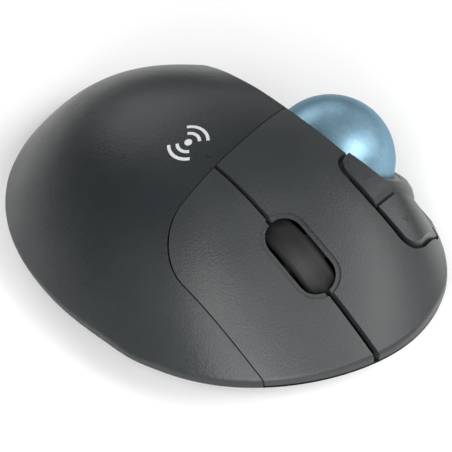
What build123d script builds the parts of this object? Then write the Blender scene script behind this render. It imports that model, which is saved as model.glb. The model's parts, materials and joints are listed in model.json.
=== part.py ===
from build123d import *

# Thumb-operated trackball mouse, cordless.
#
# Frame: millimetres, +Z up, the rest plane is z = 0, buttons point to -Y, the
# palm to +Y, the ball and the thumb shelf are on the +X side.  The origin is
# the centre of the footprint.

import os
from math import atan2, cos, degrees, exp, hypot, pi, radians, sin, sqrt

os.makedirs("parts", exist_ok=True)

# ---------------------------------------------------------------- dimensions
BALL_R = 17.5                       # 35 mm ball
BALL_C = (27.45, -17.0, 26.65)      # centre of the ball
SOCKET_DIR = (0.64, 0.16, 0.75)     # direction the socket opens in
FOOT_H = 0.8                        # rubber feet stand this far below the base
WALL = 2.0                          # housing wall
GAP, GAP_FLARE = 0.5, 0.3           # half of the gap between the plates, and what it gains to the front
SEAM = 0.28                         # seam between the plates and the palm shell
LIP_SEAM = 0.4                      # the same seam along the ridge
PEAK = (11.4, -3.0, 48.6)           # highest point of the dome
SLOPE = 1.0                         # undercut below the widest line
CENTRE_Y = 0.85                     # moves the footprint's centre onto the origin

# One row per 30 degrees about the peak, starting at +X, anticlockwise:
# plan radius of the outline, plan radius at which the dome reaches the
# crease height, and how full the dome's profile is there (1 = parabola).
STATIONS = [
    (38.2, 44.2, 0.87), (43.7, 53.0, 1.07), (58.7, 59.0, 1.19), (68.4, 68.4, 0.73),
    (69.4, 69.4, 0.47), (63.6, 63.6, 0.45), (60.9, 60.9, 0.52), (64.2, 64.2, 0.82),
    (65.8, 65.8, 1.23), (63.7, 63.7, 0.81), (51.2, 49.8, 0.55), (41.4, 41.4, 0.66),
]
SPLIT_X = -9.05                     # line between the two button plates
SEAM_Y = -9.6                       # rear edge of the plates
SEAM_X = -34.2                      # palm-side edge of the right plate
SEAM_CORNER = 12.5
SLOT = (-8.9, -39.4, 10.4, 22.4)    # wheel slot: centre x, y, width, length
WHEEL_R, WHEEL_W = 15.0, 8.4
WHEEL_DEPTH = 12.5                  # axle below the surface of the plates
SHELF_Z, SHELF_H, SHELF_W = 7.0, 38.0, 34.0   # thumb scoop


# ------------------------------------------------------------ smooth surfaces
def periodic(values):
    """Cubic through equally spaced values round a full turn."""
    n = len(values)
    # tangents of a periodic cubic spline, solved by plain iteration
    m = [0.0] * n
    for _ in range(60):
        m = [(3 * (values[(i + 1) % n] - values[i - 1]) - m[i - 1] - m[(i + 1) % n]) / 4
             for i in range(n)]

    def at(theta):
        t = (theta % (2 * pi)) / (2 * pi) * n
        i = int(t) % n
        u = t - int(t)
        a, b = values[i], values[(i + 1) % n]
        p, q = m[i], m[(i + 1) % n]
        return (a * (2 * u**3 - 3 * u**2 + 1) + p * (u**3 - 2 * u**2 + u)
                + b * (-2 * u**3 + 3 * u**2) + q * (u**3 - u**2))
    return at


outline_r = periodic([s[0] for s in STATIONS])
dome_r = periodic([s[1] for s in STATIONS])
fullness = periodic([s[2] for s in STATIONS])


def crease_z(theta):
    """Height at which the dome meets the side wall."""
    return 11.7 + 0.16 * cos(theta) - 4.1 * sin(theta)


def dome(x, y):
    dx, dy = x - PEAK[0], y - PEAK[1]
    theta = atan2(dy, dx)
    r = hypot(dx, dy)
    edge = dome_r(theta)
    limit = 1.03 * edge
    rho = min(r, limit) / edge
    c = fullness(theta)
    drop = PEAK[2] - crease_z(theta)
    z = PEAK[2] - drop * (c * rho**2 + (1 - c) * rho**4)
    # beyond the outline the surface levels out, so that it can be trimmed there
    steep = drop * (2 * c * rho + 4 * (1 - c) * rho**3) / edge
    return z - steep * 7.0 * (1 - exp(-max(0.0, r - limit) / 7.0))


def scoop(x, y):
    """The hollow the thumb rests in; it cuts the dome along the ridge."""
    v = y + 5.0
    u = (x - (19.1 + 0.036 * v)) / SHELF_W
    if u > 1:
        return SHELF_Z
    return SHELF_Z + SHELF_H * (1 - u)**2


def parting(x, y):
    """Height of the line between the upper shell and the base."""
    return 9.8 - 0.0455 * (y + 3) - 0.0026 * max(0.0, x - 5.0)**2


def sunk(fn, depth):
    """The same surface moved inward by a depth along its normal."""
    def at(x, y):
        e = 0.5
        gx = (fn(x + e, y) - fn(x - e, y)) / (2 * e)
        gy = (fn(x, y + e) - fn(x, y - e)) / (2 * e)
        g = min(3.0, hypot(gx, gy))
        return fn(x, y) - depth * sqrt(1 + g * g)
    return at


def field(fn, flat_z, step_x=7.2, step_y=9.0, x0=-54.0, x1=54.0, y0=-72.0, y1=72.0):
    """Solid between a height field and a flat level above or below it."""
    nx, ny = round((x1 - x0) / step_x), round((y1 - y0) / step_y)
    sections = []
    for j in range(ny + 1):
        y = y0 + j * (y1 - y0) / ny
        pts = [Vector(x, y, fn(x, y)) for x in [x0 + i * (x1 - x0) / nx for i in range(nx + 1)]]
        a, b = Vector(x0, y, flat_z), Vector(x1, y, flat_z)
        sections.append(Wire([Edge.make_spline(pts), Edge.make_line(pts[-1], b),
                              Edge.make_line(b, a), Edge.make_line(a, pts[0])]))
    return Solid.make_loft(sections, ruled=False)


def below(fn, **kw):
    return field(fn, -60.0, **kw)


def above(fn, **kw):
    return field(fn, 90.0, **kw)


def ring_point(theta, offset, z, slope):
    r = outline_r(theta)
    x, y = PEAK[0] + r * cos(theta), PEAK[1] + r * sin(theta)
    r += offset + (slope * (z - parting(x, y)) if slope else 0.0)
    return Vector(PEAK[0] + r * cos(theta), PEAK[1] + r * sin(theta), z)


def ring(offset, z, slope=0.0, parts=4, per=7):
    """Closed outline curve at a height, with the undercut's slope applied."""
    edges = []
    for k in range(parts):
        a0, a1 = 2 * pi * k / parts + 0.4, 2 * pi * (k + 1) / parts + 0.4
        pts = [ring_point(a0 + (a1 - a0) * i / (per - 1), offset, z, slope) for i in range(per)]
        ends = [ring_point(a + 1e-3, offset, z, slope) - ring_point(a - 1e-3, offset, z, slope)
                for a in (a0, a1)]
        edges.append(Edge.make_spline(pts, tangents=[e.normalized() for e in ends]))
    return Wire(edges)


def prism(points, corners=(), z0=-2.0, z1=70.0):
    """Vertical prism over a plan polygon; `corners` is {point index: radius}."""
    face = make_face(Polyline(*points, close=True))
    for index, radius in dict(corners).items():
        px, py = points[index]
        vertex = min(face.vertices(), key=lambda v: hypot(v.X - px, v.Y - py))
        face = fillet(vertex, radius)
    return Pos(0, 0, z0) * extrude(face, z1 - z0, dir=(0, 0, 1))


def block(x0, x1, y0, y1, z0, z1):
    return Pos((x0 + x1) / 2, (y0 + y1) / 2, (z0 + z1) / 2) * Box(x1 - x0, y1 - y0, z1 - z0)


def rod(x, y, z0, z1, r):
    return Pos(x, y, (z0 + z1) / 2) * Cylinder(r, z1 - z0)


def cross_rod(x0, x1, y, z, r):
    return Pos((x0 + x1) / 2, y, z) * Rot(0, 90, 0) * Cylinder(r, x1 - x0)


def turned(profile, frame):
    """Solid of revolution about the local Z of a frame; profile is (r, h)."""
    face = make_face(Polyline(*[(r, 0, h) for r, h in profile], close=True))
    return frame * revolve(face, Axis.Z)


def hull_solid(sink, floor, cap=None):
    """The body as one solid, moved inward by `sink`; `cap` adds to the scoop."""
    wall = Solid.extrude(Face(ring(-sink, -5.0)), Vector(0, 0, 80))
    inset = sink * sqrt(1 + SLOPE**2)
    cone = Solid.make_loft([ring(-inset, -5.0, SLOPE), ring(-inset, 60.0, SLOPE)], ruled=True)
    body = (wall & cone) & block(-100, 100, -100, 100, floor, 100)
    under = below(sunk(scoop, sink) if sink else scoop)
    if cap is not None:
        under = under + cap
    return (body & below(sunk(dome, sink) if sink else dome)) & under


def ridge_x(y):
    """Plan position of the ridge between the dome and the thumb scoop."""
    lo, hi = 5.0, 48.0
    for _ in range(40):
        mid = (lo + hi) / 2
        if dome(mid, y) < scoop(mid, y):
            lo = mid
        else:
            hi = mid
    return lo


socket = Plane(origin=BALL_C, x_dir=(0, 1, 0), z_dir=SOCKET_DIR).location
ball_at = Pos(*BALL_C)

# ---------------------------------------------------------------- main skins
# Shoulder of the housing round the ball, as (radius, height along the socket).
SHOULDER_TOP = 1.2
SHOULDER = [(19.4, SHOULDER_TOP), (20.4, 1.35), (21.4, 1.05), (23.3, -0.5), (24.4, -2.2),
            (25.0, -3.7), (25.4, -7.0)]
CUP_R = BALL_R + 1.8                # outside of the cup that holds the ball
ROOM_R = CUP_R + 0.15
MOUTH_R = BALL_R + 0.3              # opening the ball comes out through
RING_TOP = 1.2                      # socket ring's height along the socket

shoulder = turned([(0, SHOULDER_TOP)] + SHOULDER + [(0, -7.0)], socket)
outer = hull_solid(0.0, FOOT_H, cap=shoulder)
cavity = hull_solid(WALL, FOOT_H + WALL)

top_face = max(outer.faces(), key=lambda f: f.area if f.bounding_box().max.Z > 48 else 0)
walls = [f for f in outer.faces() if f.geom_type == GeomType.EXTRUSION]
crease = [e for e in top_face.edges() if any(e.is_same(w) for f in walls for w in f.edges())]
outer = outer.fillet(2.0, crease)

ball_room = turned([(0, -25), (25, -25), (25, 0.1), (0, 0.1)], socket) & ball_at * Sphere(ROOM_R)
ring_room = turned([(0, 0), (ROOM_R, 0), (ROOM_R, RING_TOP), (0, RING_TOP)], socket)
mouth = turned([(0, 0), (MOUTH_R, 0), (MOUTH_R, 30), (0, 30)], socket)
skin = outer - cavity
skin = skin - ball_room - ring_room - mouth

# ------------------------------------------------------------ plan outlines
def lip(y):
    """The left plate reaches over the ridge as far as this line."""
    return (ridge_x(y) if y > -44 else min(34.0 + 0.9 * (-50 - y), 46.0)) + 0.9


LIP_Y = (-18, -26, -34, -40, -50, -54, -62)   # where the ridge line is taken

# Pocket of the two side buttons in plan, from its rear corner on the palm side
# round its front, and its far side, which follows the ball's socket.
POCKET = [(13.5, -29.4), (13.9, -42.0), (15.5, -55.1), (21.8, -55.1), (31.9, -51.4)]
POCKET_FAR = [(34.4, -49.5), (33.6, -45.8), (30.6, -43.7), (22.9, -42.5), (19.6, -29.4)]
POCKET_CORNERS = {0: 4.2, 2: 4.0, 3: 7.0}

plates_zone = prism(
    [(SEAM_X, -80), (SEAM_X, SEAM_Y), (lip(SEAM_Y), SEAM_Y)]
    + [(lip(y), y) for y in LIP_Y] + [(44, -80)],
    {1: SEAM_CORNER})
side_pocket = prism(POCKET + POCKET_FAR, POCKET_CORNERS)

slot_x, slot_y, slot_w, slot_l = SLOT
slot_z = dome(slot_x, slot_y)
tilt = -atan2(dome(slot_x, slot_y + 6) - dome(slot_x, slot_y - 6), 12.0)
roll = -atan2(dome(slot_x + 4, slot_y) - dome(slot_x - 4, slot_y), 8.0)
slot_frame = Pos(slot_x, slot_y, slot_z) * Rot(-degrees(tilt), degrees(roll), 0)
slot_cut = slot_frame * (Pos(0, 0, -14) * extrude(SlotOverall(slot_l, slot_w, rotation=90), 30))
round_slot = dict(step_x=4.0, step_y=5.0, x0=-24, x1=8, y0=-64, y1=-14)
LEDGE_W, LEDGE_DEPTH = 1.3, 0.8    # shallow step round the slot
ledge = slot_frame * (Pos(0, 0, -14) * extrude(
    SlotOverall(slot_l + 2 * LEDGE_W, slot_w + 2 * LEDGE_W, rotation=90), 30))
ledge = ledge & above(sunk(dome, LEDGE_DEPTH), **round_slot)
wheel_frame = slot_frame * Pos(0, 0, -WHEEL_DEPTH)
wheel_room = wheel_frame * cross_rod(-5.3, 5.3, 0, 0, WHEEL_R + 0.6)
wheel_room = wheel_room & below(sunk(dome, LEDGE_DEPTH + 0.5), **round_slot)

# ------------------------------------------------------------- palm housing
upper = skin & above(lambda x, y: parting(x, y) + 0.12)
palm = upper - plates_zone
# thumb-side wall under the side buttons stays with the housing
palm = palm - side_pocket
palm = max(palm.solids(), key=lambda s: s.volume)

SCREWS = [(-33.0, 6.0), (-29.5, 35.0), (33.0, 23.0), (15.0, 51.0)]
for x, y in SCREWS:
    palm = palm + (rod(x, y, 7.4, 60, 3.4) & cavity)
for x, y in SCREWS:
    palm = palm - rod(x, y, 0, 15.4, 1.25)
LED_AT = (-7.7, -6.3)
palm = palm - rod(*LED_AT, 30, 60, 0.85)
status_light = rod(*LED_AT, 40, 60, 0.8) & outer

# --------------------------------------------------------------- the plates
plate_skin = skin & above(lambda x, y: parting(x, y) + 0.7)


def plate(points, corners=()):
    solid = (plate_skin & prism(points, corners)) - slot_cut - ledge - wheel_room
    return max(solid.solids(), key=lambda s: s.volume)


def split(side, y):
    return SPLIT_X + side * (GAP + GAP_FLARE * max(0.0, (-10.0 - y) / 56.0))


PLATE_Y = SEAM_Y - SEAM             # rear edge of the plates themselves
right_plate = plate([(SEAM_X + SEAM, -80), (SEAM_X + SEAM, PLATE_Y), (split(-1, -10), PLATE_Y),
                     (split(-1, -80), -80)], {1: SEAM_CORNER})
left_plate = plate([(split(1, -80), -80), (split(1, -10), PLATE_Y), (lip(SEAM_Y) - LIP_SEAM, PLATE_Y)]
                   + [(lip(y) - LIP_SEAM, y) for y in LIP_Y] + [(44, -80)])
# the plate's lip passes over the socket ring, with room for the click
CLICK_ROOM = 0.6
over_ring = turned([(0, 0), (ROOM_R + 0.3, 0), (ROOM_R + 0.3, RING_TOP + CLICK_ROOM),
                    (0, RING_TOP + CLICK_ROOM)], socket)
left_plate = left_plate - side_pocket - over_ring
left_plate = max(left_plate.solids(), key=lambda s: s.volume)

HINGE_Y, HINGE_Z, HINGE_R = -12.0, 29.0, 1.2
PLUNGERS = [(-20.0, -40.0), (4.0, -49.0)]
SWITCH_TOP = 13.4


def fit_out(solid, ears, plunger):
    for x0, x1 in ears:
        solid = solid + (block(x0, x1, HINGE_Y - 2.6, HINGE_Y + 1.6, HINGE_Z - 2.6, 60) & cavity)
    solid = solid + (rod(*plunger, SWITCH_TOP + 0.9, 60, 2.0) & cavity)
    return solid - cross_rod(-60, 60, HINGE_Y, HINGE_Z, HINGE_R + 0.05)


right_plate = fit_out(right_plate, [(-26.0, -22.0), (-15.5, -12.0)], PLUNGERS[0])
left_plate = fit_out(left_plate, [(-6.5, -3.5), (1.0, 4.0)], PLUNGERS[1])

# --------------------------------------------------------- the side buttons
key_room = ball_at * Sphere(ROOM_R + 0.4)
KEY_FLAT = 15.4                     # both buttons are level from this line outward
STEP_Y, STEP_Z = -42.05, 37.55      # top edge of the back button's sloping front
STEP_RUN, STEP_DROP = 1.15, 1.65
FORWARD_SUNK = 0.8                  # forward button below the plate beside it
FORWARD_END = 32.0


def back_top(x, y):
    return dome(min(x, KEY_FLAT), y) + 0.1


def forward_top(x, y):
    """Level across near the plate, then rounding down to the dome at FORWARD_END."""
    level = dome(KEY_FLAT, y) - FORWARD_SUNK
    start = 21.0 - 2.5 * max(0.0, min(1.0, (-43.0 - y) / 11.0))
    fall = max(0.0, x - start) / (FORWARD_END - start)
    return level - (level - dome(FORWARD_END, y)) * fall**2


def side_button(zone, top, stem):
    solid = zone & field(top, -30.0, step_x=2.4, step_y=3.5, x0=6, x1=42, y0=-66, y1=-17)
    solid = solid - cavity - key_room
    solid = max(solid.solids(), key=lambda s: s.volume)
    return solid + (rod(*stem, 20.9, 60, 1.6) & cavity)


SIDE_STEMS = [(18.2, -39.0), (20.5, -48.5)]
back_zone = prism([(15.05, -30.35), (15.6, -43.1), (22.7, -43.1), (19.55, -30.35)], {0: 3.2}, z0=14.0)
step_frame = Pos(0, STEP_Y, STEP_Z) * Rot(degrees(atan2(STEP_DROP, STEP_RUN)), 0, 0)
step_cut = step_frame * (Pos(20, -20, 20) * Box(60, 40, 40))
back_button = side_button(back_zone - step_cut, back_top, SIDE_STEMS[0])
# low tab that closes the wide corner of the pocket behind the back button
TAB_SUNK = 1.7
tab_zone = prism([(13.85, -29.75), (13.85, -34.5), (17.5, -34.5), (19.6, -29.75)], {0: 3.9}, z0=14.0)
back_button = back_button + side_button(tab_zone, lambda x, y: back_top(x, y) - TAB_SUNK, SIDE_STEMS[0])
forward_zone = prism([(16.1, -43.75), (17.6, -54.2), (21.6, -54.2), (31.6, -50.5), (34.0, -49.4),
                      (33.2, -46.2), (30.4, -44.3), (24.2, -43.75)], {1: 3.2, 2: 6.0}, z0=14.0)
forward_button = side_button(forward_zone, forward_top, SIDE_STEMS[1])

# ------------------------------------------------------------ ball and socket
ball = ball_at * Sphere(BALL_R)


def on_ball(direction, distance):
    n = Vector(*direction).normalized()
    return Vector(*BALL_C) + n * distance


n_dir = Vector(*SOCKET_DIR).normalized()
u_dir = Vector(0, 1, 0).cross(n_dir).normalized()
v_dir = n_dir.cross(u_dir)
BEARING_R = 1.5
bearing_at = []
for k in range(3):
    a = radians(120 * k + 30)
    d = n_dir * -cos(radians(56)) + (u_dir * cos(a) + v_dir * sin(a)) * sin(radians(56))
    bearing_at.append(on_ball(d, BALL_R + BEARING_R + 0.08))
SENSOR_DIR = (-0.35, 0.75, -0.56)

cup = turned([(0, -25), (25, -25), (25, 0), (0, 0)], socket) & ball_at * Sphere(CUP_R)
seat = [Plane(origin=p, z_dir=p - Vector(*BALL_C)).location for p in bearing_at]
for at in seat:
    cup = cup + at * (Pos(0, 0, 0.4) * Cylinder(2.6, 3.6))
cup = cup - ball_at * Sphere(BALL_R + 0.45)
for at in seat:
    cup = cup - at * (Pos(0, 0, -1.2) * Cylinder(BEARING_R + 0.03, 5.5))
cup = cup - rod(BALL_C[0], BALL_C[1], 0, 12, 4.2)
sensor_frame = Plane(origin=BALL_C, x_dir=(0, 1, 0), z_dir=SENSOR_DIR).location
cup = cup - sensor_frame * (Pos(0, 0, 18) * Cylinder(3.2, 8))
bearings = [Pos(*p) * Sphere(BEARING_R) for p in bearing_at]

RING_IN = BALL_R + 0.15
socket_ring = turned([(RING_IN, 0.15), (CUP_R, 0.15), (CUP_R, RING_TOP - 0.2), (CUP_R - 0.25, RING_TOP),
                      (RING_IN + 0.3, 0.9), (RING_IN, 0.6)], socket)

sensor_lens = sensor_frame * (Pos(0, 0, 21.0) * Cylinder(3.0, 3.4))
sensor_chip = sensor_frame * (Pos(0, 0, 23.75) * Box(9, 9, 2.1))
sensor_board = sensor_frame * (Pos(0, 0, 25.4) * Box(15, 15, 1.2))

# ------------------------------------------------------------- scroll wheel
HUB_R = 11.4
AXLE_R = 1.25
CROWN = 0.55                        # the tread's edge stands this far below its middle
half = WHEEL_W / 2
shoulder_r, edge_r = WHEEL_R - CROWN, WHEEL_R - 2.6
tread = make_face(Wire([
    Edge.make_line((HUB_R, -half), (edge_r, -half)),
    Edge.make_three_point_arc((edge_r, -half), (shoulder_r - 0.45, 0.7 - half), (shoulder_r, 2.0 - half)),
    Edge.make_three_point_arc((shoulder_r, 2.0 - half), (WHEEL_R, 0), (shoulder_r, half - 2.0)),
    Edge.make_three_point_arc((shoulder_r, half - 2.0), (shoulder_r - 0.45, half - 0.7), (edge_r, half)),
    Edge.make_line((edge_r, half), (HUB_R, half)),
    Edge.make_line((HUB_R, half), (HUB_R, -half))]))
tyre = wheel_frame * Rot(0, 0, -90) * revolve(tread, Axis.Y)
hub = cross_rod(-3.6, 3.6, 0, 0, HUB_R)
hub = hub - cross_rod(-5, -1.2, 0, 0, HUB_R - 1.6) - cross_rod(1.2, 5, 0, 0, HUB_R - 1.6)
hub = wheel_frame * (hub + cross_rod(-4.4, 4.4, 0, 0, 3.0) - cross_rod(-9, 9, 0, 0, AXLE_R))
axle = wheel_frame * cross_rod(-8.2, 11.4, 0, 0, AXLE_R)

BOARD_Z, BOARD_T = 5.2, 1.2
PIVOT_Y, PIVOT_Z, PIVOT_R = -18.6, 12.0, 1.0
PLATE_Z0, PLATE_Z1 = 10.6, 12.4     # the carrier's floor, open round the wheel
carrier = block(-9.5, 9.6, -31.0, PIVOT_Y + 2.2, PLATE_Z0, PLATE_Z1)
carrier += block(-9.5, 0.3, -49.5, -30.0, PLATE_Z0, PLATE_Z1)
carrier += block(-9.5, 9.6, PIVOT_Y - 2.2, PIVOT_Y + 2.2, PLATE_Z0 - 0.6, PIVOT_Z + 2.2)
arms = wheel_frame * (block(-7.4, -5.4, -4, 4, -18, 3) + block(5.4, 7.4, -4, 4, -18, 3))
carrier += arms & block(-40, 40, -60, 0, PLATE_Z0, 60)
carrier -= wheel_frame * cross_rod(-20, 20, 0, 0, AXLE_R + 0.06)
carrier -= wheel_frame * cross_rod(-5.1, 5.1, 0, 0, WHEEL_R + 0.8)
carrier -= cross_rod(-20, 20, PIVOT_Y, PIVOT_Z, PIVOT_R + 0.05)
pivot_pin = cross_rod(-12.0, 12.0, PIVOT_Y, PIVOT_Z, PIVOT_R)
encoder = wheel_frame * block(8.6, 12.4, -5, 5, -5, 4.5)
encoder += block(5.4, 8.4, -40.0, -35.6, BOARD_Z + BOARD_T, 22)
encoder -= wheel_frame * cross_rod(7, 14, 0, 0, 2.2)

# -------------------------------------------------------------------- boards
inside = hull_solid(WALL + 0.4, FOOT_H + WALL)
main_board = block(-29.0, 12.4, -54.0, -22.5, BOARD_Z, BOARD_Z + BOARD_T) & inside
switch_z = BOARD_Z + BOARD_T
button_switches = [block(x - 3, x + 3, y - 6.2, y + 6.2, switch_z, SWITCH_TOP - 0.8)
                   + rod(x, y, SWITCH_TOP - 0.8, SWITCH_TOP, 1.2) for x, y in PLUNGERS]
WHEEL_SWITCH = (-6.0, -46.5)
wheel_switch = block(WHEEL_SWITCH[0] - 3, WHEEL_SWITCH[0] + 3,
                     WHEEL_SWITCH[1] - 3, WHEEL_SWITCH[1] + 3, switch_z, 9.2)
wheel_switch += rod(*WHEEL_SWITCH, 9.2, 9.9, 1.4)
side_board = block(13.0, 25.5, -52.5, -34.5, 14.6, 15.8)
side_switches = [block(x - 2.8, x + 2.8, y - 2.8, y + 2.8, 15.8, 19.4) + rod(x, y, 19.4, 20.2, 1.3)
                 for x, y in SIDE_STEMS]

# ------------------------------------------------------------- inner chassis
chassis = block(-34.0, 12.0, HINGE_Y - 3.0, HINGE_Y + 3.0, 2.8, 4.6)
for x in (-31.0, -19.6, -9.8, 4.2):
    chassis += block(x, x + 2.0, HINGE_Y - 2.4, HINGE_Y + 2.4, 2.8, HINGE_Z + 2.4)
for x in (-12.0, 9.8):
    chassis += block(x, x + 2.2, PIVOT_Y - 2.6, HINGE_Y, 2.8, 4.6)
    chassis += block(x, x + 2.2, PIVOT_Y - 2.4, PIVOT_Y + 2.4, 2.8, PIVOT_Z + 2.2)
chassis -= cross_rod(-60, 60, HINGE_Y, HINGE_Z, HINGE_R)
chassis -= cross_rod(-60, 60, PIVOT_Y, PIVOT_Z, PIVOT_R)
hinge_pin = cross_rod(-31.6, 6.3, HINGE_Y, HINGE_Z, HINGE_R)

# ---------------------------------------------------------------------- base
FLOOR = FOOT_H + WALL
base = skin & below(lambda x, y: parting(x, y) - 0.2)
base = max(base.solids(), key=lambda s: s.volume)
for x, y in SCREWS:
    base = base + (rod(x, y, FLOOR - 0.5, 7.2, 4.4) & outer)
for x, y in SCREWS:
    base = base - rod(x, y, 0, 20, 1.45) - rod(x, y, 0, 3.4, 2.9)
for x, y in ((-26.0, -26.0), (-14.0, -47.0), (6.5, -50.0)):
    base = base + rod(x, y, FLOOR - 0.5, BOARD_Z, 2.0)
for x, y in ((14.5, -50.5), (24.0, -46.0), (14.5, -37.0)):
    base = base + rod(x, y, FLOOR - 0.5, 14.6, 1.4)
PUSH_R = 4.0
base = base - rod(BALL_C[0], BALL_C[1], 0, 5, PUSH_R)
for a in (110, 205, 320):
    px, py = BALL_C[0] + 9.5 * cos(radians(a)), BALL_C[1] + 9.5 * sin(radians(a))
    base = base + (rod(px, py, FLOOR - 0.5, 30, 1.8) - ball_at * Sphere(CUP_R + 0.05))

# battery bay, its sliding door underneath and the stowed receiver beside it
BAY_X, BAY_Y0, BAY_Y1 = -11.5, -5.0, 48.0
base = base - block(BAY_X - 8.4, BAY_X + 8.4, BAY_Y0, BAY_Y1, 0, 4)
base = base - block(BAY_X - 10.5, BAY_X + 10.5, BAY_Y0 - 3.4, 80, 0, 1.5)
base = base - block(BAY_X - 11.7, BAY_X + 11.7, BAY_Y0 - 3.4, 80, 1.35, 2.15)
RECEIVER = (8.6, 30.0)
base = base - block(RECEIVER[0] - 7.6, RECEIVER[0] + 7.6, RECEIVER[1] - 3.4, RECEIVER[1] + 3.4, 0, 4)
POWER = (26.0, -1.0 + 46.0)
base = base - block(POWER[0] - 4.5, POWER[0] + 4.5, POWER[1] - 1.6, POWER[1] + 1.6, 0, 4)
CONNECT = (8.6, 14.0)
base = base - rod(*CONNECT, 0, 4, 2.3)

door = block(BAY_X - 10.3, BAY_X + 10.3, BAY_Y0 - 3.2, 54.0, 0.85, 1.5)
door += block(BAY_X - 11.5, BAY_X + 11.5, BAY_Y0 - 3.2, 54.0, 1.5, 2.0)
door -= block(BAY_X - 5, BAY_X + 5, -3.0, -2.0, 0.5, 1.2) + block(BAY_X - 5, BAY_X + 5, -0.5, 0.5, 0.5, 1.2) \
    + block(BAY_X - 5, BAY_X + 5, 2.0, 3.0, 0.5, 1.2)
door = door & hull_solid(0.2, FOOT_H)

tray = block(BAY_X - 9.4, BAY_X + 9.4, BAY_Y0 - 1.2, BAY_Y1 + 1.2, FLOOR, 19.6)
tray -= block(BAY_X - 8.2, BAY_X + 8.2, BAY_Y0, BAY_Y1, 0, 18.6)
tray = tray & inside
CELL_R, CELL_L, CELL_Z = 7.1, 49.0, 10.4
CAP_R, CAP_L = 2.7, 1.1
CONTACT_T = 0.5
cell_y = BAY_Y0 + CONTACT_T + CAP_L + CELL_L / 2
cell = Pos(BAY_X, cell_y, CELL_Z) * Rot(90, 0, 0) * Cylinder(CELL_R, CELL_L)
cell = fillet(cell.edges().filter_by(GeomType.CIRCLE), 0.8)
cell_cap = Pos(BAY_X, BAY_Y0 + CONTACT_T + CAP_L / 2, CELL_Z) * Rot(90, 0, 0) * Cylinder(CAP_R, CAP_L)
plus_contact = block(BAY_X - 5, BAY_X + 5, BAY_Y0, BAY_Y0 + CONTACT_T, 4.6, 15.0)
minus_contact = block(BAY_X - 5, BAY_X + 5, BAY_Y1 - CONTACT_T, BAY_Y1, 4.6, 15.0)
# bent leaf of the negative contact, as (y, z) from the back plate and the cell's axis
LEAF = [(-0.4, 4.0), (-2.35, 0.0), (-1.7, -1.8), (-1.35, -1.7), (-1.95, 0.0), (-0.4, 3.2)]
leaf = make_face(Polyline(*[(BAY_X - 3, BAY_Y1 + dy, CELL_Z + dz) for dy, dz in LEAF], close=True))
minus_contact = minus_contact + extrude(leaf, 6, dir=(1, 0, 0))

receiver_sleeve = block(RECEIVER[0] - 9, RECEIVER[0] + 9, RECEIVER[1] - 4.8, RECEIVER[1] + 4.8, FLOOR, 22.0)
receiver_sleeve -= block(RECEIVER[0] - 7.6, RECEIVER[0] + 7.6, RECEIVER[1] - 3.4, RECEIVER[1] + 3.4, 0, 20.8)
receiver_cap = block(RECEIVER[0] - 7.4, RECEIVER[0] + 7.4, RECEIVER[1] - 3.2, RECEIVER[1] + 3.2, 0.95, 7.0)
receiver_plug = block(RECEIVER[0] - 6.0, RECEIVER[0] + 6.0, RECEIVER[1] - 2.25, RECEIVER[1] + 2.25, 7.0, 19.6)
receiver_plug -= block(RECEIVER[0] - 5.6, RECEIVER[0] + 5.6, RECEIVER[1] - 0.2, RECEIVER[1] + 1.9, 10.0, 30)

power_board = block(POWER[0] - 7, POWER[0] + 7, POWER[1] - 4.5, POWER[1] + 4.5, 6.8, 8.0)
power_knob = block(POWER[0] - 4.3, POWER[0] - 0.5, POWER[1] - 1.4, POWER[1] + 1.4, 1.0, FLOOR + 0.3)
power_knob += block(POWER[0] - 5.4, POWER[0] + 0.6, POWER[1] - 2.6, POWER[1] + 2.6, FLOOR + 0.15, FLOOR + 1.0)
power_switch = block(POWER[0] - 6.5, POWER[0] + 6.5, POWER[1] - 3.2, POWER[1] + 3.2, FLOOR + 1.15, 6.8)
connect_button = rod(*CONNECT, 1.1, FLOOR + 0.6, 2.15) + rod(*CONNECT, FLOOR + 0.15, FLOOR + 1.0, 3.2)
connect_switch = block(CONNECT[0] - 3, CONNECT[0] + 3, CONNECT[1] - 3, CONNECT[1] + 3, FLOOR + 2.4, 7.4)
connect_switch += rod(*CONNECT, FLOOR + 1.7, FLOOR + 2.4, 1.3)
connect_board = block(CONNECT[0] - 8, CONNECT[0] + 5.4, CONNECT[1] - 6, CONNECT[1] + 6, 7.4, 8.4)

FEET = [(-21.5, -38.5, 12.0, 5.5, -38.0), (14.0, -46.0, 12.0, 5.5, 22.0), (-34.5, 16.0, 14.0, 5.5, 92.0),
        (38.5, 3.0, 14.0, 5.5, 88.0), (6.8, 54.2, 10.0, 5.0, -4.0)]
feet = []
for x, y, length, width, angle in FEET:
    spot = Pos(x, y, 0) * Rot(0, 0, angle)
    feet.append(spot * extrude(SlotOverall(length, width), FOOT_H + 0.4))
    base = base - spot * (extrude(SlotOverall(length + 0.3, width + 0.3), FOOT_H + 0.4))

screws = []
for x, y in SCREWS:
    screw = rod(x, y, 2.0, 3.4, 2.5) + rod(x, y, 3.4, 15.2, 1.25)
    screw -= block(x - 1.9, x + 1.9, y - 0.35, y + 0.35, 1, 2.7)
    screw -= block(x - 0.35, x + 0.35, y - 1.9, y + 1.9, 1, 2.7)
    screws.append(screw)

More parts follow.
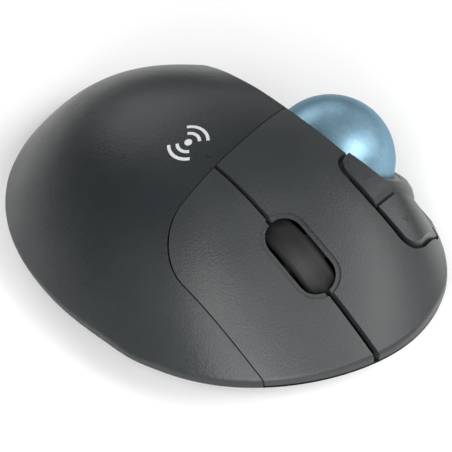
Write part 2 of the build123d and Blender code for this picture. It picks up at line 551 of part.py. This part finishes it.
# -------------------------------------------------------------------- export
NODES = {
    "palm_shell": palm, "base_shell": base, "left_button": left_plate, "right_button": right_plate,
    "back_button": back_button, "forward_button": forward_button, "ball": ball, "ball_cup": cup,
    "bearing_balls": bearings, "socket_ring": socket_ring, "sensor_lens": sensor_lens,
    "sensor_chip": sensor_chip, "sensor_board": sensor_board, "wheel_tyre": tyre, "wheel_hub": hub,
    "wheel_axle": axle, "wheel_carrier": carrier, "carrier_pin": pivot_pin, "wheel_encoder": encoder,
    "main_board": main_board, "click_switches": button_switches, "wheel_switch": wheel_switch,
    "side_board": side_board, "side_switches": side_switches, "chassis": chassis,
    "button_hinge_pin": hinge_pin, "status_light": status_light, "battery_tray": tray,
    "battery_cell": cell, "battery_cap": cell_cap, "battery_plus_contact": plus_contact,
    "battery_minus_leaf": minus_contact, "battery_door": door, "receiver_sleeve": receiver_sleeve,
    "receiver_cap": receiver_cap, "receiver_plug": receiver_plug, "power_board": power_board,
    "power_knob": power_knob, "power_switch": power_switch, "connect_button": connect_button,
    "connect_switch": connect_switch, "connect_board": connect_board, "rubber_feet": feet, "screws": screws,
}
to_origin = Pos(0, CENTRE_Y, 0)
for name, shape in NODES.items():
    if isinstance(shape, list):
        moved = Compound(children=[to_origin * solid for piece in shape for solid in piece.solids()])
    else:
        moved = to_origin * shape
    export_step(moved, f"parts/{name}.step")
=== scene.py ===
import json
import math

import bmesh
import bpy
from mathutils import Matrix, Vector
from mathutils.bvhtree import BVHTree


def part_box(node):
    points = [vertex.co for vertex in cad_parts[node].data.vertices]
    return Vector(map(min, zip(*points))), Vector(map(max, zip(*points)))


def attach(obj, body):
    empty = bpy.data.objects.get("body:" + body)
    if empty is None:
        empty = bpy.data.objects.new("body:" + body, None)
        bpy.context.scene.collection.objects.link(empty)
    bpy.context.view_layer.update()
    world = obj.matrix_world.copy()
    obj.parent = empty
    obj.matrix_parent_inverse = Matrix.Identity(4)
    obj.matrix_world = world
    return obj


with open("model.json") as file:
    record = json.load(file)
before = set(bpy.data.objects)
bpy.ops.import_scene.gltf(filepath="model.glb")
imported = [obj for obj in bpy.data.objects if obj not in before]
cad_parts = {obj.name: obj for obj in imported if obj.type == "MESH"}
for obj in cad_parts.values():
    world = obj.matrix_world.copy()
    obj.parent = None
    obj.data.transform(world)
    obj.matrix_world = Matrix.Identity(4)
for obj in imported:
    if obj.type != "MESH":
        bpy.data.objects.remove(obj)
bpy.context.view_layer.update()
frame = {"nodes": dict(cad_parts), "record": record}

nodes = frame["nodes"]
scene = bpy.context.scene


# ------------------------------------------------------------ material tools
class Mat:
    """A node material with one Principled shader and helpers to feed it."""

    def __init__(self, name):
        self.m = bpy.data.materials.new(name)
        self.m.use_nodes = True
        self.t = self.m.node_tree
        self.b = self.t.nodes["Principled BSDF"]
        self.tc = self.t.nodes.new("ShaderNodeTexCoord")

    def node(self, kind, **values):
        n = self.t.nodes.new(kind)
        for key, value in values.items():
            if key in n.inputs:
                n.inputs[key].default_value = value
            else:
                setattr(n, key, value)
        return n

    def link(self, a, b):
        self.t.links.new(a, b)

    def set(self, **values):
        for key, value in values.items():
            self.b.inputs[key.replace("_", " ")].default_value = value

    def noise(self, scale, detail=4.0, rough=0.5, stretch=None):
        n = self.node("ShaderNodeTexNoise", Scale=scale, Detail=detail, Roughness=rough)
        if stretch:
            m = self.node("ShaderNodeMapping", Scale=stretch)
            self.link(self.tc.outputs["Object"], m.inputs["Vector"])
            self.link(m.outputs["Vector"], n.inputs["Vector"])
        else:
            self.link(self.tc.outputs["Object"], n.inputs["Vector"])
        return n.outputs["Fac"]

    def ramp(self, fac, stops):
        r = self.t.nodes.new("ShaderNodeValToRGB")
        els = r.color_ramp.elements
        while len(els) < len(stops):
            els.new(0.5)
        for e, (p, c) in zip(els, stops):
            e.position = p
            e.color = (*c, 1.0)
        self.link(fac, r.inputs["Fac"])
        return r.outputs["Color"]

    def span(self, fac, lo, hi, a, b):
        """Maps the range a to b of a value onto lo to hi."""
        r = self.node("ShaderNodeMapRange")
        for i, v in zip((1, 2, 3, 4), (a, b, lo, hi)):
            r.inputs[i].default_value = v
        self.link(fac, r.inputs[0])
        return r.outputs[0]

    def bump(self, fac, distance, strength):
        n = self.node("ShaderNodeBump", Strength=strength, Distance=distance)
        self.link(fac, n.inputs["Height"])
        self.link(n.outputs["Normal"], self.b.inputs["Normal"])

    def color(self, fac, stops):
        self.link(self.ramp(fac, stops), self.b.inputs["Base Color"])

    def rough(self, fac, lo, hi, a=0.3, b=0.7):
        self.link(self.span(fac, lo, hi, a, b), self.b.inputs["Roughness"])


FINE_SHARE = 0.55                   # how much of the colour's variation is the fine grain
VARY = 0.12                         # the colour varies by this share either way


def plastic(name, base, grain, depth, rough, spec=0.5):
    """Moulded plastic with a spark-eroded grain of the given depth in metres."""
    m = Mat(name)
    fine = m.noise(grain, 3.0, 0.6)
    broad = m.noise(45.0, 3.0, 0.5)
    mix = m.node("ShaderNodeMath", operation="MULTIPLY_ADD")
    m.link(fine, mix.inputs[0])
    mix.inputs[1].default_value = FINE_SHARE
    scaled = m.node("ShaderNodeMath", operation="MULTIPLY")
    m.link(broad, scaled.inputs[0])
    scaled.inputs[1].default_value = 1 - FINE_SHARE
    m.link(scaled.outputs[0], mix.inputs[2])
    lo = tuple(c * (1 - VARY) for c in base)
    hi = tuple(c * (1 + VARY) for c in base)
    m.color(mix.outputs[0], [(0.3, lo), (0.7, hi)])
    m.rough(broad, *rough)
    m.bump(fine, depth, 0.6)
    m.set(Specular_IOR_Level=spec)
    return m


OUTER_GRAIN = dict(grain=1900.0, depth=0.00015, spec=0.36)
shell = plastic("shell_plastic", (0.0150, 0.0180, 0.0195), rough=(0.30, 0.39), **OUTER_GRAIN)
keys = plastic("button_plastic", (0.0240, 0.0268, 0.0275), rough=(0.31, 0.40), **OUTER_GRAIN)
base_m = plastic("base_plastic", (0.011, 0.012, 0.0125), 1500, 0.00005, (0.45, 0.6), spec=0.33)
inner = plastic("inner_plastic", (0.05, 0.05, 0.055), 900, 0.00003, (0.4, 0.55))
switch = plastic("switch_plastic", (0.03, 0.03, 0.033), 1200, 0.00002, (0.35, 0.5))
chip = plastic("chip_black", (0.015, 0.015, 0.016), 2500, 0.00001, (0.5, 0.65))
ring = plastic("socket_gloss", (0.013, 0.014, 0.015), 1500, 0.00001, (0.25, 0.35), spec=0.33)
rubber = plastic("rubber_black", (0.0085, 0.0085, 0.009), 3500, 0.00003, (0.5, 0.7), spec=0.3)

pearl = Mat("ball_pearl")
flake = pearl.node("ShaderNodeTexVoronoi", Scale=2600.0)
pearl.link(pearl.tc.outputs["Object"], flake.inputs["Vector"])
cloud = pearl.noise(900.0, 4.0, 0.7)
pearl.color(pearl.span(cloud, 0, 1, 0.3, 0.7),
            [(0.0, (0.185, 0.320, 0.410)), (0.5, (0.205, 0.345, 0.440)), (1.0, (0.230, 0.380, 0.480))])
pearl.set(Metallic=0.7, Specular_IOR_Level=0.15, Specular_Tint=(0.12, 0.28, 0.40, 1.0), Coat_Weight=0.3,
          Coat_Roughness=0.25, Coat_IOR=1.4)
pearl.rough(flake.outputs["Distance"], 0.30, 0.42, 0.0, 0.6)
pearl.bump(flake.outputs["Distance"], 0.00004, 0.5)

steel = Mat("steel")
brushed = steel.noise(700.0, 4.0, 0.6, stretch=(0.05, 1, 1))
steel.color(brushed, [(0.3, (0.42, 0.43, 0.45)), (0.7, (0.62, 0.63, 0.65))])
steel.set(Metallic=1.0)
steel.rough(brushed, 0.22, 0.4)


def mottled(name, scale, detail, grain, stops, rough):
    """Material whose colour and roughness follow one noise, which is returned too."""
    m = Mat(name)
    spots = m.noise(scale, detail, grain)
    m.color(spots, stops)
    m.rough(spots, *rough)
    return m, spots


nickel, _ = mottled("contact_metal", 900.0, 4.0, 0.6,
                    [(0.3, (0.55, 0.55, 0.54)), (0.7, (0.75, 0.75, 0.73))], (0.2, 0.36))
nickel.set(Metallic=1.0)
ceramic, _ = mottled("bearing_ceramic", 600.0, 3.0, 0.5,
                     [(0.3, (0.78, 0.78, 0.75)), (0.7, (0.88, 0.88, 0.86))], (0.08, 0.16))
board, resist = mottled("board_green", 350.0, 5.0, 0.6,
                        [(0.35, (0.010, 0.075, 0.028)), (0.55, (0.014, 0.11, 0.042)),
                         (0.7, (0.03, 0.16, 0.07))], (0.25, 0.4))
board.bump(resist, 0.00003, 0.5)
lens, _ = mottled("lens_clear", 500.0, 2.0, 0.5,
                  [(0.3, (0.80, 0.86, 0.90)), (0.7, (0.9, 0.94, 0.97))], (0.03, 0.09))
lens.set(Transmission_Weight=0.9, IOR=1.49)
pipe, _ = mottled("light_pipe", 900.0, 2.0, 0.5,
                  [(0.3, (0.012, 0.014, 0.013)), (0.7, (0.03, 0.035, 0.03))], (0.1, 0.2))

# the cell's sleeve: a copper-coloured band at its positive end, black beyond
COPPER, BLACK = (0.42, 0.22, 0.08), (0.02, 0.02, 0.022)
wrap = Mat("cell_wrap")
along = wrap.node("ShaderNodeSeparateXYZ")
wrap.link(wrap.tc.outputs["Object"], along.inputs[0])
cell_lo, cell_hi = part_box("battery_cell")
wrap.color(wrap.span(along.outputs["Y"], 0, 1, cell_lo.y, cell_hi.y),
           [(0.0, COPPER), (0.24, COPPER), (0.26, BLACK), (1.0, (0.03, 0.03, 0.033))])
wrap.rough(wrap.noise(300.0), 0.2, 0.35)

SLOT_MATS = {"shell_plastic": shell, "button_plastic": keys, "base_plastic": base_m, "ball_pearl": pearl,
             "socket_gloss": ring, "rubber_black": rubber, "steel": steel, "bearing_ceramic": ceramic,
             "inner_plastic": inner, "board_green": board, "switch_plastic": switch, "chip_black": chip,
             "lens_clear": lens, "light_pipe": pipe, "cell_wrap": wrap, "contact_metal": nickel}
frame_slot = {entry["node"]: entry["material_slot"] for entry in frame["record"]["subparts"]}
for name, slot in frame_slot.items():
    nodes[name].data.materials.clear()
    nodes[name].data.materials.append(SLOT_MATS[slot].m)

SHARP_ANGLE = math.radians(28.0)
WELD_DISTANCE = 0.000004


def smooth(o):
    """Shade a CAD node smoothly, with its sharp edges kept."""
    for p in o.data.polygons:
        p.use_smooth = True
    weld = o.modifiers.new("weld", "WELD")
    weld.merge_threshold = WELD_DISTANCE
    split = o.modifiers.new("split", "EDGE_SPLIT")
    split.split_angle = SHARP_ANGLE
    normals = o.modifiers.new("normals", "WEIGHTED_NORMAL")
    normals.keep_sharp = True


for o in nodes.values():
    if o.data.has_custom_normals:
        bpy.context.view_layer.objects.active = o
        bpy.ops.mesh.customdata_custom_splitnormals_clear()
    smooth(o)

# ------------------------------------------------------------- printed marks
ink = Mat("mark_ink")
ink_noise = ink.noise(1800.0, 3.0, 0.6)
ink.color(ink_noise, [(0.3, (0.44, 0.46, 0.46)), (0.7, (0.54, 0.56, 0.56))])
ink.rough(ink_noise, 0.45, 0.6)
dark_ink = Mat("icon_ink")
dark_noise = dark_ink.noise(1800.0, 3.0, 0.6)
dark_ink.color(dark_noise, [(0.3, (0.006, 0.006, 0.006)), (0.7, (0.012, 0.012, 0.012))])
dark_ink.rough(dark_noise, 0.5, 0.65)

MM = 0.001
ARC_STEPS, DISC_STEPS = 20, 24
INK_LIFT, INK_THICKNESS = 0.00001, 0.00004


def arc(cx, cy, r, a0, a1):
    """Points of an arc in plan, angles in degrees."""
    angles = [math.radians(a0 + (a1 - a0) * i / ARC_STEPS) for i in range(ARC_STEPS + 1)]
    return [(cx + r * math.cos(a), cy + r * math.sin(a)) for a in angles]


def stroke(points, width):
    """Rows of three points across a line of the given width."""
    rows = []
    for i, (x, y) in enumerate(points):
        (x0, y0), (x1, y1) = points[max(0, i - 1)], points[min(len(points) - 1, i + 1)]
        length = math.hypot(x1 - x0, y1 - y0)
        nx, ny = (y0 - y1) / length * width / 2, (x1 - x0) / length * width / 2
        rows.append([(x + nx, y + ny), (x, y), (x - nx, y - ny)])
    return rows


def disc(cx, cy, r):
    """Rows of three points across a filled circle."""
    rows = []
    for i in range(DISC_STEPS + 1):
        a = math.pi * (0.03 + 0.94 * i / DISC_STEPS)
        h, x = r * math.sin(a), cx - r * math.cos(a)
        rows.append([(x, cy + h), (x, cy), (x, cy - h)])
    return rows


def printed(name, body, under, shapes, material):
    """Ink laid on the surface of a CAD node, given as rows of points in plan, in mm."""
    tree = BVHTree.FromObject(nodes[under], bpy.context.evaluated_depsgraph_get())
    bm = bmesh.new()
    for rows in shapes:
        grid = []
        for row in rows:
            line = []
            for x, y in row:
                at, normal, _, _ = tree.ray_cast(Vector((x * MM, y * MM, 0.1)), Vector((0, 0, -1)))
                line.append(bm.verts.new(at + normal * INK_LIFT))
            grid.append(line)
        for a, b in zip(grid, grid[1:]):
            for k in (0, 1):
                bm.faces.new((a[k], a[k + 1], b[k + 1], b[k]))
    bmesh.ops.recalc_face_normals(bm, faces=bm.faces)
    if sum(f.normal.z for f in bm.faces) < 0:
        bmesh.ops.reverse_faces(bm, faces=bm.faces)
    mesh = bpy.data.meshes.new(name)
    bm.to_mesh(mesh)
    bm.free()
    o = bpy.data.objects.new(name, mesh)
    scene.collection.objects.link(o)
    solid = o.modifiers.new("ink", "SOLIDIFY")
    solid.thickness = INK_THICKNESS
    solid.offset = 1.0
    mesh.materials.append(material.m)
    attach(o, body)


MARK_X, MARK_Y = -8.0, 1.6
WAVE_RADII, WAVE_HALF, WAVE_WIDTH = (2.9, 5.1), 48, 0.85
waves = [disc(MARK_X, MARK_Y, 1.0)]
for side in (0, 180):
    for r in WAVE_RADII:
        waves.append(stroke(arc(MARK_X, MARK_Y, r, side - WAVE_HALF, side + WAVE_HALF), WAVE_WIDTH))
printed("palm_mark", "housing", "palm_shell", waves, ink)


CHEVRON, CHEVRON_WIDTH = 0.8, 0.35


def chevron(cx, cy, way):
    """Arrowhead pointing to +Y or -Y."""
    tip = (cx, cy + way * CHEVRON)
    ends = [(cx + side * CHEVRON, cy - way * CHEVRON / 2) for side in (-1, 1)]
    return [stroke([ends[0], tip], CHEVRON_WIDTH), stroke([tip, ends[1]], CHEVRON_WIDTH)]


printed("back_icon", "back_key", "back_button", chevron(18.6, -36.6, 1), dark_ink)
printed("forward_icon", "forward_key", "forward_button", chevron(20.6, -48.2, -1), dark_ink)

# --------------------------------------------------------------------- stage
paper, _ = mottled("floor", 3.0, 2.0, 0.5,
                   [(0.3, (0.93, 0.93, 0.93)), (0.7, (0.95, 0.95, 0.95))], (0.85, 0.95))
bpy.ops.mesh.primitive_plane_add(size=6.0, location=(0, 0, 0))
floor = bpy.context.object
floor.name = "floor"
floor.data.materials.append(paper.m)

world = bpy.data.worlds.new("studio")
scene.world = world
world.use_nodes = True
sky = world.node_tree.nodes["Background"]
sky.inputs["Color"].default_value = (1, 1, 1, 1)
sky.inputs["Strength"].default_value = 0.10
scene.view_settings.view_transform = "Standard"


def soft_light(name, at, power):
    """Round area light that faces the object."""
    data = bpy.data.lights.new(name, "AREA")
    data.shape = "DISK"
    data.size = LIGHT_SIZE
    data.energy = power
    o = bpy.data.objects.new(name, data)
    scene.collection.objects.link(o)
    o.location = at
    o.rotation_mode = "QUATERNION"
    o.rotation_quaternion = (LIGHT_AIM - Vector(at)).to_track_quat("-Z", "Y")


LIGHT_SIZE, LIGHT_GAIN, LIGHT_AIM = 0.50, 1.6, Vector((0, 0, 0.02))
# where each light stands in metres, and its share of the light in watts before the gain
LIGHTS = {"front_left": ((-0.55, -0.30, 0.60), 2.2), "low_left": ((-0.58, -0.50, 0.28), 3.0),
          "front": ((-0.15, -0.65, 0.50), 1.0), "front_right": ((0.24, -0.62, 0.60), 2.6),
          "low_right": ((0.60, -0.50, 0.35), 0.7), "right": ((0.70, -0.05, 0.30), 0.2),
          "left": ((-0.70, 0.15, 0.35), 0.4), "back": ((0.15, 0.70, 0.50), 1.0),
          "back_right": ((0.55, 0.45, 0.50), 0.45)}
for name, (at, power) in LIGHTS.items():
    soft_light(name, at, power * LIGHT_GAIN)

# -------------------------------------------------------------------- camera
AZ, EL, ROLL, DIST = math.radians(-44.976), math.radians(45.085), math.radians(-1.708), 0.635878
FOCUS = Vector((0.0, 0.00085, 0.020))
LENS, SHIFT = 189.31, (0.0265, -0.0576)
back = Vector((math.sin(AZ) * math.cos(EL), -math.cos(AZ) * math.cos(EL), math.sin(EL)))
right = Vector((math.cos(AZ), math.sin(AZ), 0.0))
up = back.cross(right)
x_axis = right * math.cos(ROLL) + up * math.sin(ROLL)
y_axis = up * math.cos(ROLL) - right * math.sin(ROLL)
cam_data = bpy.data.cameras.new("camera")
cam = bpy.data.objects.new("camera", cam_data)
scene.collection.objects.link(cam)
cam.matrix_world = Matrix(((x_axis.x, y_axis.x, back.x, 0), (x_axis.y, y_axis.y, back.y, 0),
                           (x_axis.z, y_axis.z, back.z, 0), (0, 0, 0, 1)))
cam.location = FOCUS + back * DIST
cam_data.sensor_width = 36.0
cam_data.lens = LENS
cam_data.shift_x, cam_data.shift_y = SHIFT
cam_data.clip_start, cam_data.clip_end = 0.05, 20.0
scene.camera = cam
